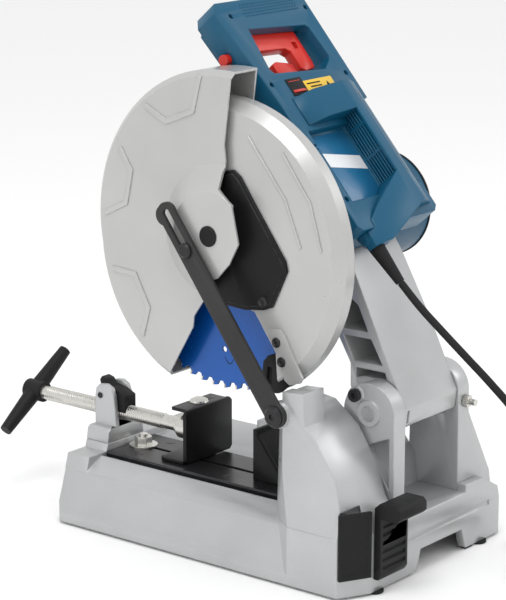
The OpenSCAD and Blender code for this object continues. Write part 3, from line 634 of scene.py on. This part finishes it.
# ---- camera ----

view = dict(place=(1.9658, 1.5360, 0.8856), azimuth=38.6, fall=14.1, lens=142.1)
camera = bpy.data.cameras.new("camera")
camera.lens = view["lens"]
camera.sensor_width = 36
camera.clip_end = 20
cameraObject = bpy.data.objects.new("camera", camera)
bpy.context.collection.objects.link(cameraObject)
aim = Vector((-math.cos(math.radians(view["azimuth"])) * math.cos(math.radians(view["fall"])),
              -math.sin(math.radians(view["azimuth"])) * math.cos(math.radians(view["fall"])),
              -math.sin(math.radians(view["fall"]))))
cameraObject.location = view["place"]
cameraObject.rotation_euler = aim.to_track_quat("-Z", "Y").to_euler()
bpy.context.scene.camera = cameraObject

# ---- mains lead ----

lead = dict(radius=4.0, coilCentre=(-66, 352.5), turns=[(52, 4), (44, 4), (36, 4), (36, 12), (44, 12),
                                                        (52, 12), (44, 20), (52, 20)],
            stepsPerTurn=24)
route = [(32, 186.2, 312.3), (32, 210, 291), (32, 236, 271), (32, 267, 248), (32, 298, 225),
         (32, 328, 200), (31, 353, 170), (29, 374, 135), (25, 391, 97), (17, 403, 60),
         (3, 409, 30), (-18, 409, 11), (-42, 406, 5), (-66, 404.5, 4)]
tail = [(-118, 352.5, 20), (-118, 338, 19.2), (-118, 324, 16.2), (-118, 311, 13), (-118, 300, 12)]


def coilPoints():
    points = []
    turns = lead["turns"]
    total = int((len(turns) - 0.75) * lead["stepsPerTurn"])
    for step in range(1, total):
        turn = step / lead["stepsPerTurn"]
        now = turns[int(turn)]
        after = turns[min(int(turn) + 1, len(turns) - 1)]
        shift = min(max((turn % 1 - 0.7) / 0.3, 0), 1)
        shift = shift * shift * (3 - 2 * shift)
        radius = now[0] + (after[0] - now[0]) * shift
        height = now[1] + (after[1] - now[1]) * shift
        angle = math.radians(90) + turn * math.tau
        points.append((lead["coilCentre"][0] + radius * math.cos(angle),
                       lead["coilCentre"][1] + radius * math.sin(angle), height))
    return points


def leadCurve(name, points, radius):
    data = bpy.data.curves.new(name, "CURVE")
    data.dimensions = "3D"
    data.bevel_depth = radius
    data.bevel_resolution = 5
    data.use_fill_caps = True
    data.resolution_u = 6
    spline = data.splines.new("BEZIER")
    spline.bezier_points.add(len(points) - 1)
    for knot, point in zip(spline.bezier_points, points):
        knot.co = point
        knot.handle_left_type = "AUTO"
        knot.handle_right_type = "AUTO"
    piece = bpy.data.objects.new(name, data)
    bpy.context.collection.objects.link(piece)
    return piece


leadPoints = [tuple(v * mm for v in point) for point in route + coilPoints() + tail]
mainsLead = leadCurve("mainsLead", leadPoints, lead["radius"] * mm)
pick(mainsLead)
bpy.ops.object.convert(target="MESH")
mainsLead = bpy.context.object
bpy.ops.object.shade_smooth_by_angle(angle=math.radians(60))
mainsLead.data.materials.clear()
mainsLead.data.materials.append(finishes["rubberBlack"])
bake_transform(mainsLead, "head", "base", start=leadPoints[0], end=leadPoints[9])
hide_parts("cord", "cord_coil")

# ---- light and floor ----

deselectAll()
bpy.ops.mesh.primitive_plane_add(size=30, location=(0, 0, 0))
floor = bpy.context.object
floor.name = "floor"
floorPaint = bpy.data.materials.new("floorPaint")
floorPaint.use_nodes = True
floorPaint.node_tree.nodes["Principled BSDF"].inputs["Base Color"].default_value = (0.95, 0.95, 0.95, 1)
floorPaint.node_tree.nodes["Principled BSDF"].inputs["Roughness"].default_value = 0.9
floor.data.materials.append(floorPaint)

studio = dict(sky=0.92, lamps=[("keyLamp", (1.0, 0.4, 2.6), 24, 1.1), ("sideLamp", (2.6, -0.6, 1.3), 3, 1.0),
                               ("backLamp", (-1.6, 1.8, 1.8), 9, 1.0)])
world = bpy.data.worlds.new("studio")
bpy.context.scene.world = world
world.use_nodes = True
world.node_tree.nodes["Background"].inputs["Color"].default_value = (1, 1, 1, 1)
world.node_tree.nodes["Background"].inputs["Strength"].default_value = studio["sky"]
for name, spot, power, size in studio["lamps"]:
    light = bpy.data.lights.new(name, "AREA")
    light.energy = power
    light.size = size
    lamp = bpy.data.objects.new(name, light)
    lamp.location = spot
    lamp.rotation_euler = (Vector((0, 0, 0.25)) - Vector(spot)).to_track_quat("-Z", "Y").to_euler()
    bpy.context.collection.objects.link(lamp)
bpy.context.scene.view_settings.view_transform = "Standard"
